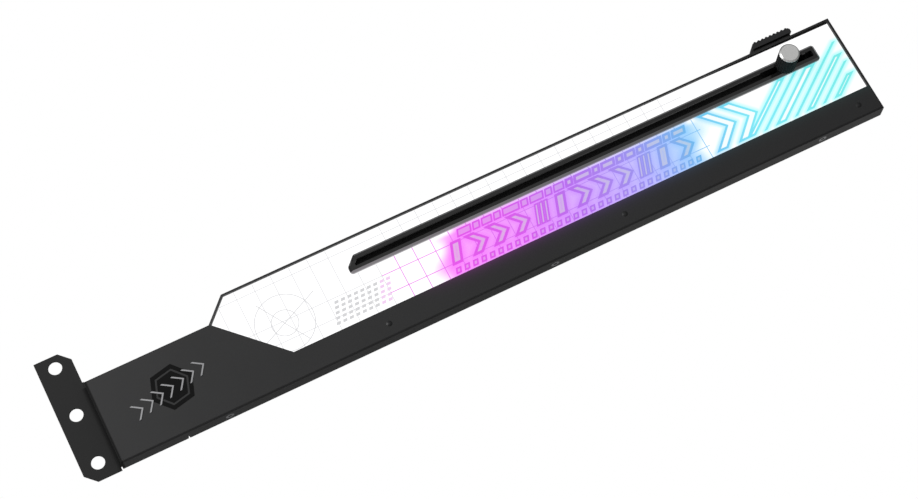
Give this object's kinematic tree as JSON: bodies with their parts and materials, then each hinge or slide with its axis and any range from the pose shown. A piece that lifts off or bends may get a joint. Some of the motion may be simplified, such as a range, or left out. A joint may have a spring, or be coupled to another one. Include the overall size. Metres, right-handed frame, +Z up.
{
  "type": "expansion card support bracket",
  "caption": "Slim black metal bar with a drilled mounting flange, a lit printed window, and a sliding arm with a ribbed rubber pad held by a thumb screw.",
  "frame": {"origin": "centre of the middle flange hole, on the flange's seat (rear) face", "axes": "+X along the bar away from the flange, -Y out of the lit front, +Z up in use"},
  "size_m": [0.3392, 0.0346, 0.0519],
  "materials": {
    "frame": "matt black powder coat, fine texture",
    "slot_bezel": "satin black moulding",
    "film": "printed film, lit from behind",
    "diffuser": "opal white",
    "light_guide": "clear acrylic, polished edges",
    "reflector": "white film",
    "led_rail": "plain extruded",
    "led_board": "white solder mask",
    "leds": "white lamp bodies",
    "rivets": "blackened, satin",
    "back_cover": "black moulding, fine texture",
    "cover_screws": "blackened with a bright rim",
    "lead_grommet": "matt black",
    "guide_block": "black, smooth",
    "clamp_nut": "zinc plated",
    "support_arm": "matt black powder coat",
    "arm_pad": "matt black, ribbed",
    "washer": "black, smooth",
    "knob": "black anodised, fluted",
    "knob_cap": "satin, bright bevel",
    "stud": "machine cut thread",
    "badge": "gloss black lacquer",
    "badge_strokes": "silver foil",
    "print_grid": "pale grey ink",
    "print_magenta": "magenta ink, lit",
    "print_violet": "violet ink, lit",
    "print_blue": "blue ink, lit",
    "print_cyan": "cyan ink, lit",
    "print_light": "pale lilac ink, lit"
  },
  "bodies": {
    "bar": {"frame": "frame", "slot_bezel": "slot_bezel", "film": "film", "diffuser": "diffuser", "light_guide": "light_guide", "reflector": "reflector", "led_rail": "led_rail", "led_board": "led_board", "leds": "leds", "rivets": "rivets", "back_cover": "back_cover", "cover_screws": "cover_screws", "lead_grommet": "lead_grommet", "badge": "badge", "badge_strokes": "badge_strokes", "print_grid": "print_grid", "print_magenta": "print_magenta", "print_violet": "print_violet", "print_blue": "print_blue", "print_cyan": "print_cyan", "print_light": "print_light"},
    "carriage": {"guide_block": "guide_block", "clamp_nut": "clamp_nut"},
    "arm": {"support_arm": "support_arm", "arm_pad": "arm_pad"},
    "screw_washer": {"washer": "washer"},
    "thumb_screw": {"knob": "knob", "knob_cap": "knob_cap", "stud": "stud"}
  },
  "joints": [
    {"name": "arm_slide", "type": "slide", "parent": "bar", "child": "carriage", "axis": [1, 0, 0], "range_m": [-0.185, 0.0107]},
    {"name": "arm_height", "type": "slide", "parent": "carriage", "child": "arm", "axis": [0, 0, 1], "range_m": [-0.003, 0.012]},
    {"name": "screw_advance", "type": "slide", "parent": "carriage", "child": "screw_washer", "axis": [0, -1, 0], "range_m": [0, 0.0009]},
    {"name": "screw_turn", "type": "hinge", "parent": "screw_washer", "child": "thumb_screw", "pos_m": [0.30605, 0, 0.00625], "axis": [0, -1, 0], "range_deg": [0, 720]}
  ],
  "couplings": [
    {"joint": "screw_turn", "follows": "screw_advance", "rad_per_m": 13963}
  ]
}
